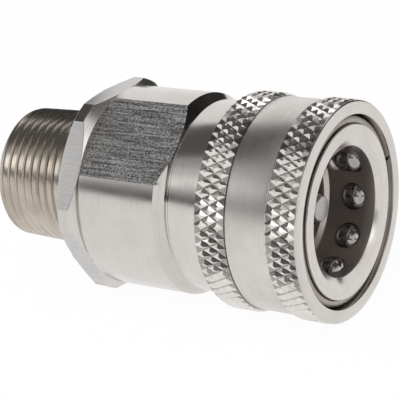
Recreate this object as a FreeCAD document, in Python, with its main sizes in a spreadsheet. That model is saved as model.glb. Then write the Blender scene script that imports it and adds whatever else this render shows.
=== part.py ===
import FreeCAD, Part
import os
import Sketcher

# Hydraulic quick coupler, female half, lying on its side.
# X runs along the axis towards the mouth, Z is up, and the origin is on the axis
# at the flange's shoulder, where the male pipe thread starts. Millimetres.

doc = FreeCAD.newDocument("QuickCoupler")
sheet = doc.addObject("Spreadsheet::Sheet", "Sizes")

# Driving dimensions: a few diameters, lengths along the axis, steps, walls and clearances.
SIZES = {
    # male tapered pipe thread and hexagon flange
    "thread_diameter": 26.67,
    "thread_length": 20.15,
    "runout_length": 2.0,
    "thread_pitch": 1.8143,
    "thread_depth": 0.62,
    "thread_flank_angle": 32.0,
    "thread_overcut": 0.3,
    "thread_end_chamfer": 1.2,
    "taper_run": 16.0,
    "thread_wall": 4.335,
    "flange_across_flats": 36.8,
    "flange_corner_height": 2.3,
    "flange_thickness": 4.5,
    "flange_chamfer_angle": 30.0,
    "flange_face_inset": 0.05,
    "port_mouth_depth": 3.0,
    "spigot_step": 1.5,
    "adaptor_seal_section": 1.78,
    "adaptor_seal_setback": 0.9,
    "adaptor_seal_room": 0.6,
    # coupler body, outside
    "body_length": 17.0,
    "body_height": 1.1,
    "body_rear_chamfer": 0.5,
    "flat_depth": 2.05,
    "flats_angle": 128.0,
    "shoulder_chamfer_length": 1.0,
    "relief_width": 1.2,
    "relief_depth": 0.45,
    "collar_bevel": 0.25,
    "collar_margin": 2.0,
    "nose_edge": 0.2,
    # socket and plug seal
    "socket_diameter": 24.0,
    "lead_in_length": 2.0,
    "ball_track_step": 0.2,
    "mouth_bevel_height": 1.35,
    "mouth_bevel_length": 0.85,
    "socket_rear_length": 5.05,
    "socket_step": 0.8,
    "seal_edge": 1.1,
    "plug_seal_section": 2.5,
    "plug_seal_squeeze": 0.3,
    "backup_width": 1.1,
    "web_land": 3.15,
    # valve seat and chamber
    "throat_diameter": 16.0,
    "throat_length": 2.5,
    "throat_edge": 0.5,
    "seat_width": 1.5,
    "chamber_step": 1.8,
    "guide_step": 1.7,
    "guide_thickness": 3.0,
    # ball lock
    "ball_diameter": 5.556,
    "ball_count": 10,
    "ball_angle": -10.0,
    "ball_reach": 1.67,
    "ball_lip": 0.198,
    "ball_seat_height": 0.9,
    "ball_land_play": 0.264,
    "barrel_wall": 3.8,
    "land_lead": 0.3,
    "land_length": 2.65,
    "release_angle": 17.5,
    "ring_wire": 1.8,
    "ring_seat": 0.35,
    "ring_lip": 0.46,
    "ring_gap_angle": 2.0,
    "ring_gap_turn": 101.0,
    # locking sleeve
    "sleeve_wall": 2.15,
    "grip_height": 0.6,
    "knurl_count": 66,
    "knurl_angle": 30.0,
    "knurl_depth": 0.68,
    "knurl_crest": 0.18,
    "knurl_overcut": 0.05,
    "sleeve_overlap": 1.8,
    "sleeve_proud": 0.15,
    "front_grip_length": 6.57,
    "rear_grip_length": 6.4,
    "band_edge": 0.4,
    "sleeve_edge": 0.35,
    "sleeve_travel": 5.0,
    # valve
    "pin_diameter": 5.0,
    "pin_edge": 0.3,
    "pin_root_length": 3.0,
    "head_cover": 0.7,
    "head_thickness": 1.2,
    "head_lead": 0.4,
    "valve_travel": 5.0,
    "valve_seal_width": 0.8,
    "valve_seal_depth": 0.6,
    "boss_step": 3.8,
    "boss_length": 1.5,
    "stem_diameter": 5.8,
    "stem_end_reach": 1.0,
    "flow_hole_diameter": 3.6,
    "flow_hole_count": 6,
    # springs
    "valve_spring_wire": 1.2,
    "valve_spring_turns": 3.4,
    "sleeve_spring_wire": 1.4,
    "sleeve_spring_turns": 4.0,
    "spring_reserve": 0.4,
    # clearances
    "slide_play": 0.1,
    "stem_play": 0.05,
    "thread_play": 0.1,
    "seat_play": 0.1,
    "seal_play": 0.03,
    "ball_hole_play": 0.1,
    "ring_play": 0.35,
    "spring_play": 0.375,
}

# Places and radii that follow from the driving dimensions.
DERIVED = {
    # radii, from the socket outwards
    "socket_radius": "socket_diameter / 2",
    "ball_track_radius": "socket_radius + ball_track_step",
    "ball_radius": "ball_diameter / 2",
    "ball_circle": "ball_track_radius - ball_reach + ball_radius",
    "ball_lip_radius": "ball_radius - ball_lip",
    "ball_hole_radius": "ball_radius + ball_hole_play",
    "land_radius": "ball_circle + ball_radius + ball_land_play",
    "barrel_radius": "ball_track_radius + barrel_wall",
    "ring_radius": "barrel_radius - ring_seat + ring_wire / 2",
    "ring_groove_radius": "barrel_radius - ring_seat - 0.5 * slide_play",
    "ring_groove_half": "(ring_wire + slide_play) / 2",
    "release_radius": "ring_radius + ring_wire / 2 + ring_play",
    "sleeve_spring_radius": "barrel_radius + spring_play + sleeve_spring_wire / 2",
    "collar_radius": "sleeve_spring_radius + sleeve_spring_wire / 2 + spring_play",
    "sleeve_bore_radius": "collar_radius + slide_play",
    "sleeve_radius": "sleeve_bore_radius + sleeve_wall",
    "band_radius": "sleeve_radius - grip_height",
    "knurl_spacing": "2 * pi * sleeve_radius / knurl_count * cos(knurl_angle)",
    "knurl_widening": "1 + knurl_overcut / knurl_depth",
    "knurl_half_width": "(knurl_spacing - knurl_crest) / 2 * knurl_widening",
    "body_radius": "collar_radius + body_height",
    "flat_height": "body_radius - flat_depth",
    "relief_radius": "collar_radius - relief_depth",
    "seal_bore_radius": "ball_track_radius - socket_step",
    "seal_groove_radius": "seal_bore_radius + plug_seal_section - plug_seal_squeeze",
    "throat_radius": "throat_diameter / 2",
    "chamber_radius": "throat_radius + seat_width + chamber_step",
    "guide_radius": "chamber_radius + guide_step",
    "spigot_radius": "guide_radius + spigot_step",
    "adaptor_groove_radius": "spigot_radius + thread_play - adaptor_seal_section - 2 * seal_play",
    "pin_radius": "pin_diameter / 2",
    "stem_radius": "stem_diameter / 2",
    "head_radius": "throat_radius + seat_width + head_cover",
    "boss_radius": "head_radius - boss_step",
    "valve_seal_radius": "throat_radius - valve_seal_depth",
    "valve_spring_radius": "boss_radius + 0.5 * spring_play + valve_spring_wire / 2",
    "flow_circle": "valve_spring_radius + (valve_spring_wire + flow_hole_diameter) / 2 + seat_play",
    "port_mouth_radius": "flow_circle + flow_hole_diameter / 2 + seat_play",
    "thread_radius": "thread_diameter / 2",
    "thread_end_radius": "thread_radius - (thread_length - runout_length) / taper_run / 2",
    "groove_start_radius": "thread_end_radius - thread_pitch / taper_run / 4",
    "groove_half_width": "(thread_depth + thread_overcut) * tan(thread_flank_angle)",
    "port_radius": "thread_radius - thread_wall",
    "flange_radius": "flange_across_flats / 2 + flange_corner_height",
    "flange_face_radius": "flange_across_flats / 2 - flange_face_inset",
    # places along the axis, from the thread's end to the mouth
    "groove_start": "0 - thread_length - thread_pitch / 2",
    "flange_chamfer": "(flange_radius - flange_face_radius) * tan(flange_chamfer_angle)",
    "body_end": "flange_thickness + body_length",
    "relief_start": "body_end + shoulder_chamfer_length",
    "collar_start": "relief_start + relief_width",
    "collar_end": "collar_start + collar_margin + sleeve_travel + sleeve_overlap",
    "sleeve_rear": "collar_end - sleeve_overlap",
    "land_rear": "collar_end + sleeve_travel + sleeve_spring_turns * sleeve_spring_wire + spring_reserve",
    "land_front": "land_rear + land_length",
    "ball_x": "land_front - land_lead",
    "ring_reach": "(ring_wire / 2 + 0.5 * slide_play) / cos(release_angle)",
    "ring_x": "land_front + (ring_radius + ring_reach - land_radius) / tan(release_angle)",
    "release_end": "land_front + (release_radius - land_radius) / tan(release_angle)",
    "nose": "ring_x + ring_groove_half + ring_lip",
    "mouth": "nose + sleeve_proud",
    "band_front": "mouth - front_grip_length",
    "band_rear": "sleeve_rear + rear_grip_length",
    "lead_in_end": "nose - mouth_bevel_length - lead_in_length",
    "socket_end": "ball_x - socket_rear_length",
    "seal_groove_start": "socket_end - socket_step - seal_edge",
    "backup_start": "seal_groove_start - plug_seal_section - 4 * seal_play",
    "seal_groove_end": "backup_start - backup_width - seal_play",
    "web_face": "seal_groove_end - web_land",
    "seat_start": "web_face - throat_length",
    "seat_end": "seat_start - seat_width",
    "seat_line": "seat_start + throat_radius",
    "head_line": "seat_line - seat_play * sqrt(2)",
    "seal_line": "seat_line - 0.7 * seat_play",
    "head_front": "seat_start + head_lead",
    "head_rear": "head_line - head_radius - head_thickness",
    "valve_seal_front": "seat_start - head_lead",
    "valve_seal_rear": "valve_seal_front - valve_seal_width",
    "boss_end": "head_rear - boss_length",
    "guide_face": "head_rear - valve_travel - valve_spring_turns * valve_spring_wire - spring_reserve",
    "spigot_end": "guide_face - guide_thickness",
    "stem_end": "spigot_end - stem_end_reach",
    "port_cone_end": "spigot_end - port_mouth_depth - port_mouth_radius + port_radius",
    "adaptor_groove_start": "flange_thickness + adaptor_seal_setback",
    "adaptor_groove_end": "adaptor_groove_start + adaptor_seal_section + adaptor_seal_room",
}


def fill_sheet():
    """Write each size and each formula to the sheet, under its own alias."""
    row = 0
    for name, size in SIZES.items():
        row += 1
        sheet.set(f"A{row}", name)
        sheet.set(f"B{row}", str(size))
        sheet.setAlias(f"B{row}", name)
    for name, formula in DERIVED.items():
        row += 1
        sheet.set(f"A{row}", name)
        sheet.set(f"B{row}", "=" + formula)
        sheet.setAlias(f"B{row}", name)
    doc.recompute()


def sized(text):
    """Turn a formula in the sheet's own names into one that other objects can use."""
    words = []
    for word in text.replace("(", "( ").replace(")", " )").split():
        known = word in SIZES or word in DERIVED
        words.append(f"Sizes.{word}" if known else word)
    return " ".join(words)


def value(text):
    """The number that a formula comes to now."""
    return float(sheet.evalExpression(sized(text)))


def origin_plane(body, role):
    """One of a body's own origin planes."""
    return next(item for item in body.Origin.OriginFeatures if item.Role == role)


def new_body(label):
    return doc.addObject("PartDesign::Body", label)


def new_sketch(body, name, role):
    """An empty sketch on one of the body's origin planes."""
    sketch = body.newObject("Sketcher::SketchObject", name)
    sketch.AttachmentSupport = [(origin_plane(body, role), "")]
    sketch.MapMode = "FlatFace"
    return sketch


def lock(sketch, kind, geometry, point, formula):
    """Hold one coordinate of a sketch point at a formula of the sheet."""
    constraint = Sketcher.Constraint(kind, -1, 1, geometry, point, value(formula))
    index = sketch.addConstraint(constraint)
    sketch.setExpression(f"Constraints[{index}]", sized(formula))


def draw_outline(sketch, corners):
    """A closed outline of straight edges with every corner held by the sheet."""
    places = [FreeCAD.Vector(value(along), value(across), 0) for along, across in corners]
    first = sketch.GeometryCount
    count = len(places)
    for index in range(count):
        sketch.addGeometry(Part.LineSegment(places[index], places[(index + 1) % count]), False)
    for index in range(count):
        following = first + (index + 1) % count
        sketch.addConstraint(Sketcher.Constraint("Coincident", first + index, 2, following, 1))
    for index, (along, across) in enumerate(corners):
        lock(sketch, "DistanceX", first + index, 1, along)
        lock(sketch, "DistanceY", first + index, 1, across)


def draw_circle(sketch, along, across, diameter):
    """A circle with its centre and diameter held by the sheet."""
    centre = FreeCAD.Vector(value(along), value(across), 0)
    circle = Part.Circle(centre, FreeCAD.Vector(0, 0, 1), value(diameter) / 2)
    index = sketch.addGeometry(circle, False)
    lock(sketch, "DistanceX", index, 3, along)
    lock(sketch, "DistanceY", index, 3, across)
    size = sketch.addConstraint(Sketcher.Constraint("Diameter", index, value(diameter)))
    sketch.setExpression(f"Constraints[{size}]", sized(diameter))


def turned(label, corners):
    """A body of revolution about X from its half section."""
    body = new_body(label)
    sketch = new_sketch(body, f"{label}_section", "XY_Plane")
    draw_outline(sketch, corners)
    turning = body.newObject("PartDesign::Revolution", f"{label}_turning")
    turning.Profile = sketch
    turning.ReferenceAxis = (sketch, ["H_Axis"])
    turning.Angle = 360
    body.Tip = turning
    doc.recompute()
    return body


def cut_along(body, sketch, name, length):
    """Pocket a sketch of the YZ plane towards the mouth, and insist that it cuts."""
    before = body.Shape.Volume
    pocket = body.newObject("PartDesign::Pocket", name)
    pocket.Profile = sketch
    pocket.Type = "Length"
    pocket.setExpression("Length", sized(length))
    pocket.Reversed = True
    body.Tip = pocket
    doc.recompute()
    if body.Shape.Volume >= before:
        raise RuntimeError(f"{name} removed nothing")
    return pocket


def around_axis(body, feature, name, count):
    """Repeat a feature evenly around X."""
    pattern = body.newObject("PartDesign::PolarPattern", name)
    pattern.Originals = [feature]
    axis = next(item for item in body.Origin.OriginFeatures if item.Role == "X_Axis")
    pattern.Axis = (axis, [""])
    pattern.Angle = 360
    pattern.setExpression("Occurrences", sized(count))
    body.Tip = pattern
    doc.recompute()
    return pattern


def ring_seal(label, centre, radius, section):
    """A round-section ring about X."""
    ring = doc.addObject("Part::Torus", label)
    ring.setExpression("Radius1", sized(radius))
    ring.setExpression("Radius2", sized(section) + " / 2")
    ring.Placement = FreeCAD.Placement(
        FreeCAD.Vector(0, 0, 0), FreeCAD.Rotation(FreeCAD.Vector(0, 1, 0), 90)
    )
    ring.setExpression("Placement.Base.x", sized(centre))
    return ring


def coil_spring(label, start, end, radius, wire, turns):
    """A round-wire coil about X between two seats."""
    body = new_body(label)
    sketch = new_sketch(body, f"{label}_wire", "XY_Plane")
    draw_circle(sketch, f"{start} + {wire} / 2", radius, wire)
    coil = body.newObject("PartDesign::AdditiveHelix", f"{label}_coil")
    coil.Profile = sketch
    coil.ReferenceAxis = (sketch, ["H_Axis"])
    coil.Mode = "height-turns-angle"
    coil.setExpression("Height", sized(f"{end} - {start} - {wire}"))
    coil.setExpression("Turns", sized(turns))
    body.Tip = coil
    doc.recompute()
    return body


def make_end_adaptor():
    """Threaded end with its hexagon flange and the spigot that screws into the body."""
    body = turned("end_adaptor", [
        ("0 - thread_length", "port_radius"),
        ("0 - thread_length", "thread_end_radius - thread_end_chamfer"),
        ("thread_end_chamfer - thread_length", "thread_end_radius"),
        ("0 - runout_length", "thread_radius"),
        ("0", "thread_radius"),
        ("0", "flange_face_radius"),
        ("flange_chamfer", "flange_radius"),
        ("flange_thickness - flange_chamfer", "flange_radius"),
        ("flange_thickness", "flange_face_radius"),
        ("flange_thickness", "spigot_radius"),
        ("adaptor_groove_start", "spigot_radius"),
        ("adaptor_groove_start", "adaptor_groove_radius"),
        ("adaptor_groove_end", "adaptor_groove_radius"),
        ("adaptor_groove_end", "spigot_radius"),
        ("spigot_end", "spigot_radius"),
        ("spigot_end", "port_mouth_radius"),
        ("spigot_end - port_mouth_depth", "port_mouth_radius"),
        ("port_cone_end", "port_radius"),
    ])
    sketch = new_sketch(body, "flange_hexagon", "YZ_Plane")
    half = "flange_across_flats / 2"
    corner = "flange_across_flats / sqrt(3)"
    edge = "flange_across_flats / sqrt(12)"
    draw_outline(sketch, [
        (corner, "0"),
        (edge, half),
        (f"0 - {edge}", half),
        (f"0 - {corner}", "0"),
        (f"0 - {edge}", f"0 - {half}"),
        (edge, f"0 - {half}"),
    ])
    draw_circle(sketch, "0", "0", "4 * flange_radius")
    cut_along(body, sketch, "flange_flats", "flange_thickness")

    # The thread is one V groove, wound along the taper from beyond the end up to the plain run-out.
    section = new_sketch(body, "thread_section", "XY_Plane")
    draw_outline(section, [
        ("groove_start", "groove_start_radius - thread_depth"),
        ("groove_start + groove_half_width", "groove_start_radius + thread_overcut"),
        ("groove_start - groove_half_width", "groove_start_radius + thread_overcut"),
    ])
    before = body.Shape.Volume
    thread = body.newObject("PartDesign::SubtractiveHelix", "thread_groove")
    thread.Profile = section
    thread.ReferenceAxis = (section, ["H_Axis"])
    thread.Mode = "pitch-height-angle"
    thread.setExpression("Pitch", sized("thread_pitch"))
    thread.setExpression("Height", sized("thread_length - runout_length"))
    thread.setExpression("Angle", sized("atan( 1 / ( 2 * taper_run ) )"))
    body.Tip = thread
    doc.recompute()
    if body.Shape.Volume >= before:
        raise RuntimeError("the thread groove removed nothing")
    return body


def make_coupler_body():
    """Round body with wrench flats, collar, and the barrel that holds balls, seal and valve seat."""
    body = turned("coupler_body", [
        ("flange_thickness", "spigot_radius + thread_play"),
        ("flange_thickness", "body_radius - body_rear_chamfer"),
        ("flange_thickness + body_rear_chamfer", "body_radius"),
        ("body_end", "body_radius"),
        ("relief_start", "relief_radius"),
        ("collar_start", "relief_radius"),
        ("collar_start", "collar_radius - collar_bevel"),
        ("collar_start + collar_bevel", "collar_radius"),
        ("collar_end - collar_bevel", "collar_radius"),
        ("collar_end", "collar_radius - collar_bevel"),
        ("collar_end", "barrel_radius"),
        ("ring_x - ring_groove_half", "barrel_radius"),
        ("ring_x - ring_groove_half", "ring_groove_radius"),
        ("ring_x + ring_groove_half", "ring_groove_radius"),
        ("ring_x + ring_groove_half", "barrel_radius"),
        ("nose - nose_edge", "barrel_radius"),
        ("nose", "barrel_radius - nose_edge"),
        ("nose", "socket_radius + mouth_bevel_height"),
        ("nose - mouth_bevel_length", "socket_radius"),
        ("lead_in_end", "socket_radius"),
        ("lead_in_end", "ball_track_radius"),
        ("socket_end", "ball_track_radius"),
        ("socket_end - socket_step", "seal_bore_radius"),
        ("seal_groove_start", "seal_bore_radius"),
        ("seal_groove_start", "seal_groove_radius"),
        ("seal_groove_end", "seal_groove_radius"),
        ("seal_groove_end", "seal_bore_radius"),
        ("web_face", "seal_bore_radius"),
        ("web_face", "throat_radius + throat_edge"),
        ("web_face - throat_edge", "throat_radius"),
        ("seat_start", "throat_radius"),
        ("seat_end", "throat_radius + seat_width"),
        ("seat_end", "chamber_radius"),
        ("guide_face", "chamber_radius"),
        ("guide_face", "guide_radius + slide_play"),
        ("spigot_end", "guide_radius + slide_play"),
        ("spigot_end", "spigot_radius + thread_play"),
    ])

    # One pair of wrench flats, milled from the rear face up to the collar.
    flats = new_sketch(body, "wrench_flats", "YZ_Plane")
    for side in ("", "0 - "):
        draw_outline(flats, [
            (f"{side}flat_height", "0 - 2 * body_radius"),
            (f"{side}2 * body_radius", "0 - 2 * body_radius"),
            (f"{side}2 * body_radius", "2 * body_radius"),
            (f"{side}flat_height", "2 * body_radius"),
        ])
    flats.AttachmentOffset = FreeCAD.Placement(
        FreeCAD.Vector(0, 0, 0), FreeCAD.Rotation(FreeCAD.Vector(0, 0, 1), value("flats_angle"))
    )
    flats.setExpression("AttachmentOffset.Rotation.Angle", sized("flats_angle"))
    cut_along(body, flats, "wrench_flats_cut", "collar_start")

    # Tapered ball holes: a lip at the socket wall keeps each ball from falling in.
    hole = new_sketch(body, "ball_hole_section", "XY_Plane")
    draw_outline(hole, [
        ("ball_x", "0.5 * socket_radius"),
        ("ball_x + ball_lip_radius", "0.5 * socket_radius"),
        ("ball_x + ball_lip_radius", "ball_track_radius"),
        ("ball_x + ball_hole_radius", "ball_track_radius + ball_seat_height"),
        ("ball_x + ball_hole_radius", "collar_radius"),
        ("ball_x", "collar_radius"),
    ])
    hole.AttachmentOffset = FreeCAD.Placement(
        FreeCAD.Vector(0, 0, 0), FreeCAD.Rotation(FreeCAD.Vector(1, 0, 0), value("ball_angle"))
    )
    hole.setExpression("AttachmentOffset.Rotation.Angle", sized("ball_angle"))
    axis_edge = f"Edge{hole.GeometryCount}"
    before = body.Shape.Volume
    groove = body.newObject("PartDesign::Groove", "ball_hole")
    groove.Profile = hole
    groove.ReferenceAxis = (hole, [axis_edge])
    groove.Angle = 360
    body.Tip = groove
    doc.recompute()
    around_axis(body, groove, "ball_holes", "ball_count")
    if body.Shape.Volume >= before:
        raise RuntimeError("the ball holes removed nothing")
    return body


def cut_knurl(body, name, start, end):
    """Diamond knurl between two places: right-hand and left-hand V grooves that cross."""
    middle = f"( {start} + {end} ) / 2"
    for hand, sense in (("right", 1), ("left", -1)):
        section = new_sketch(body, f"{name}_{hand}_section", "XY_Plane")
        draw_outline(section, [
            ("0", "sleeve_radius - knurl_depth"),
            ("knurl_half_width", "sleeve_radius + knurl_overcut"),
            ("0 - knurl_half_width", "sleeve_radius + knurl_overcut"),
        ])
        section.AttachmentOffset = FreeCAD.Placement(
            FreeCAD.Vector(value(middle), 0, 0),
            FreeCAD.Rotation(FreeCAD.Vector(0, sense, 0), value("knurl_angle")),
        )
        section.setExpression("AttachmentOffset.Base.x", sized(middle))
        section.setExpression("AttachmentOffset.Rotation.Angle", sized("knurl_angle"))
        groove = body.newObject("PartDesign::Pocket", f"{name}_{hand}_groove")
        groove.Profile = section
        groove.Type = "Length"
        groove.SideType = "Symmetric"
        groove.setExpression("Length", sized(f"2 * ( {end} - {start} )"))
        body.Tip = groove
        doc.recompute()
        before = body.Shape.Volume
        around_axis(body, groove, f"{name}_{hand}_grooves", "knurl_count")
        if body.Shape.Volume >= before:
            raise RuntimeError(f"{name} lost its {hand}-hand grooves")


def make_locking_sleeve():
    """Sleeve with its two knurled grips, locking land, release cone and spring chamber."""
    body = turned("locking_sleeve", [
        ("sleeve_rear", "sleeve_bore_radius"),
        ("sleeve_rear", "sleeve_radius - sleeve_edge"),
        ("sleeve_rear + sleeve_edge", "sleeve_radius"),
        ("band_rear - band_edge", "sleeve_radius"),
        ("band_rear", "band_radius"),
        ("band_front", "band_radius"),
        ("band_front + band_edge", "sleeve_radius"),
        ("mouth - sleeve_edge", "sleeve_radius"),
        ("mouth", "sleeve_radius - sleeve_edge"),
        ("mouth", "release_radius"),
        ("release_end", "release_radius"),
        ("land_front", "land_radius"),
        ("land_rear", "land_radius"),
        ("land_rear", "sleeve_bore_radius"),
    ])
    cut_knurl(body, "rear_grip", "sleeve_rear + sleeve_edge", "band_rear - band_edge")
    cut_knurl(body, "front_grip", "band_front + band_edge", "mouth - sleeve_edge")
    return body


def make_retaining_ring():
    """Open ring of round wire in the barrel's groove, which stops the sleeve."""
    ring = ring_seal("retaining_ring", "ring_x", "ring_radius", "ring_wire")
    ring.setExpression("Angle3", "360 - Sizes.ring_gap_angle")
    turn = FreeCAD.Rotation(FreeCAD.Vector(1, 0, 0), value("ring_gap_turn"))
    ring.Placement = FreeCAD.Placement(ring.Placement.Base, turn * ring.Placement.Rotation)
    return ring


def make_balls():
    """Locking balls, one for each hole."""
    balls = []
    for number in range(int(SIZES["ball_count"])):
        ball = doc.addObject("Part::Sphere", f"ball_{number + 1:02d}")
        turn = f"(Sizes.ball_angle + {number} * 360 / Sizes.ball_count)"
        ball.setExpression("Radius", "Sizes.ball_radius")
        ball.setExpression("Placement.Base.x", "Sizes.ball_x")
        ball.setExpression("Placement.Base.y", f"Sizes.ball_circle * cos{turn}")
        ball.setExpression("Placement.Base.z", f"Sizes.ball_circle * sin{turn}")
        balls.append(ball)
    return balls


def make_backup_ring():
    """Flat ring that supports the plug seal."""
    return turned("backup_ring", [
        ("backup_start", "seal_bore_radius + slide_play"),
        ("backup_start", "seal_groove_radius - seal_play"),
        ("backup_start - backup_width", "seal_groove_radius - seal_play"),
        ("backup_start - backup_width", "seal_bore_radius + slide_play"),
    ])


def make_valve_poppet():
    """Poppet with its opening pin, sealing cone, spring register and stem."""
    return turned("valve_poppet", [
        ("stem_end", "0"),
        ("stem_end", "stem_radius"),
        ("boss_end", "stem_radius"),
        ("boss_end", "boss_radius"),
        ("head_rear", "boss_radius"),
        ("head_rear", "head_radius"),
        ("head_rear + head_thickness", "head_radius"),
        ("valve_seal_rear", "head_line - valve_seal_rear"),
        ("valve_seal_rear", "valve_seal_radius"),
        ("valve_seal_front", "valve_seal_radius"),
        ("valve_seal_front", "head_line - valve_seal_front"),
        ("head_front", "head_line - head_front"),
        ("head_front", "2 * pin_radius"),
        ("head_front + pin_root_length", "pin_radius"),
        ("ball_x - pin_edge", "pin_radius"),
        ("ball_x", "pin_radius - pin_edge"),
        ("ball_x", "0"),
    ])


def make_valve_seal():
    """Soft ring in the poppet's cone."""
    return turned("valve_seal", [
        ("valve_seal_rear", "valve_seal_radius"),
        ("valve_seal_rear", "seal_line - valve_seal_rear"),
        ("valve_seal_front", "seal_line - valve_seal_front"),
        ("valve_seal_front", "valve_seal_radius"),
    ])


def make_valve_guide():
    """Disc that guides the stem and lets the oil through a ring of holes."""
    body = turned("valve_guide", [
        ("spigot_end", "stem_radius + stem_play"),
        ("spigot_end", "guide_radius"),
        ("guide_face", "guide_radius"),
        ("guide_face", "stem_radius + stem_play"),
    ])
    sketch = new_sketch(body, "flow_hole_outline", "YZ_Plane")
    draw_circle(sketch, "flow_circle", "0", "flow_hole_diameter")
    hole = cut_along(body, sketch, "flow_hole", "guide_face + guide_thickness")
    around_axis(body, hole, "flow_holes", "flow_hole_count")
    return body


fill_sheet()
parts = [
    make_end_adaptor(),
    make_coupler_body(),
    make_locking_sleeve(),
    make_retaining_ring(),
    make_backup_ring(),
    make_valve_poppet(),
    make_valve_seal(),
    make_valve_guide(),
    ring_seal(
        "adaptor_seal",
        "( adaptor_groove_start + adaptor_groove_end ) / 2",
        "adaptor_groove_radius + seal_play + adaptor_seal_section / 2",
        "adaptor_seal_section",
    ),
    ring_seal(
        "plug_seal",
        "( seal_groove_start + backup_start ) / 2",
        "seal_groove_radius - seal_play - plug_seal_section / 2",
        "plug_seal_section",
    ),
    coil_spring(
        "sleeve_spring",
        "collar_end",
        "land_rear",
        "sleeve_spring_radius",
        "sleeve_spring_wire",
        "sleeve_spring_turns",
    ),
    coil_spring(
        "valve_spring",
        "guide_face",
        "head_rear",
        "valve_spring_radius",
        "valve_spring_wire",
        "valve_spring_turns",
    ),
]
parts += make_balls()
doc.recompute()

for item in doc.Objects:
    if "Invalid" in item.State or "Error" in item.State:
        raise RuntimeError(f"{item.Label} failed to rebuild")
for part in parts:
    if part.Shape.isNull() or not part.Shape.isValid():
        raise RuntimeError(f"{part.Label} has no valid shape")

os.makedirs("parts", exist_ok=True)
for part in parts:
    part.Shape.exportStep(f"parts/{part.Label}.step")
    box = part.Shape.BoundBox
    print(f"{part.Label}: {len(part.Shape.Solids)} solid, {part.Shape.Volume:.1f} mm3,"
          f" x {box.XMin:.2f} to {box.XMax:.2f}")
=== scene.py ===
# %% [markdown]
# # A hydraulic quick coupler in stainless steel
# This lesson dresses a CAD model of a quick coupler: the female half of a hose coupling with a
# pipe thread behind a hexagon flange, a round body with wrench flats, and a knurled sleeve that
# locks a ring of balls. The CAD model comes in as a frame that is already in the right place, in
# metres, with X along the axis towards the mouth.

# %% Load the CAD frame
import math

import bpy
from mathutils import Matrix, Vector


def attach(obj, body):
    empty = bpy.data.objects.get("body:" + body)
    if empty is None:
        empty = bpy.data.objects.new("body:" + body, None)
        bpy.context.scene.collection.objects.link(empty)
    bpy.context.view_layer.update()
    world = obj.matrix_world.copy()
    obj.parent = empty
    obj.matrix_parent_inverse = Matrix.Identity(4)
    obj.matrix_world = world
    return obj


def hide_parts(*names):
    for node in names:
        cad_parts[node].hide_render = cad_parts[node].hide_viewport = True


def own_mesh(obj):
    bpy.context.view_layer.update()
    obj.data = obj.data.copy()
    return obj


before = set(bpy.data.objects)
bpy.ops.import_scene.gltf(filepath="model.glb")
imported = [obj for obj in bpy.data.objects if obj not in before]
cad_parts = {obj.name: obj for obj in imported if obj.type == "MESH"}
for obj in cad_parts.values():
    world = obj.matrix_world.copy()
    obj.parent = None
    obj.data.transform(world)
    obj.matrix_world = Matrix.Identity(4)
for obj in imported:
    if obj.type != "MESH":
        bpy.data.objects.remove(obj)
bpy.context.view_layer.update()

# %% [markdown]
# ## The camera
# The photograph is a tight product shot, taken from the front right with a long lens and a slight
# roll. A camera is only a position and three directions, so we write down where it looks, which
# way is right and which way is down, and build its matrix from those. Blender's camera looks
# along its own -Z with +Y up, so "down" and "forward" change sign.

# %% Camera at the photograph's viewing angle
MM = 0.001
MOUTH = Vector((51.5, 0.0, 0.0)) * MM
LOOK_RIGHT = Vector((0.84396, 0.52734, -0.09817))
LOOK_DOWN = Vector((0.11606, -0.35820, -0.92638))
LOOK_FORWARD = Vector((-0.52369, 0.77044, -0.36352))
MOUTH_SEEN = Vector((27.03, 2.26, 287.39)) * MM
LENS_MM = 144.0
SENSOR_MM = 36.0

camera_place = (
    MOUTH - MOUTH_SEEN.x * LOOK_RIGHT - MOUTH_SEEN.y * LOOK_DOWN - MOUTH_SEEN.z * LOOK_FORWARD
)
bpy.ops.object.select_all(action="DESELECT")
bpy.ops.object.camera_add(location=camera_place)
camera = bpy.context.object
camera.name = "product_camera"
camera.data.lens = LENS_MM
camera.data.sensor_width = SENSOR_MM
camera.data.clip_start = 0.01
axes = Matrix((LOOK_RIGHT, -LOOK_DOWN, -LOOK_FORWARD)).transposed()
camera.rotation_mode = "QUATERNION"
camera.rotation_quaternion = axes.to_quaternion()
bpy.context.scene.camera = camera
print("camera at", [round(1000 * value, 1) for value in camera_place], "mm")

# %% [markdown]
# ## Tools for turned parts
# Nearly every piece of a coupler comes off a lathe, so the modelling tool we need most is a
# lathe. We draw half of the section as a chain of points, by extruding a single vertex from
# corner to corner, and spin it around the X axis. Doubled points along the seam are merged, and
# the normals are recalculated because a spin can turn a shape inside out. Sizes are given in
# millimetres, as on a shop drawing.

# %% A lathe: half section to solid
SEGMENTS = 180
CORNER_MERGE = 1e-7
SEAM_MERGE = 2e-6
COIL_MERGE = 1e-6
SHARP_ANGLE = 28


def clear_selection():
    """Leave edit mode and select nothing, so that an operator touches only what comes next."""
    if bpy.context.object is not None and bpy.context.object.mode != "OBJECT":
        bpy.ops.object.mode_set(mode="OBJECT")
    bpy.ops.object.select_all(action="DESELECT")


def take(piece):
    """Make one piece the only selected and active object."""
    clear_selection()
    piece.select_set(True)
    bpy.context.view_layer.objects.active = piece


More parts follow.
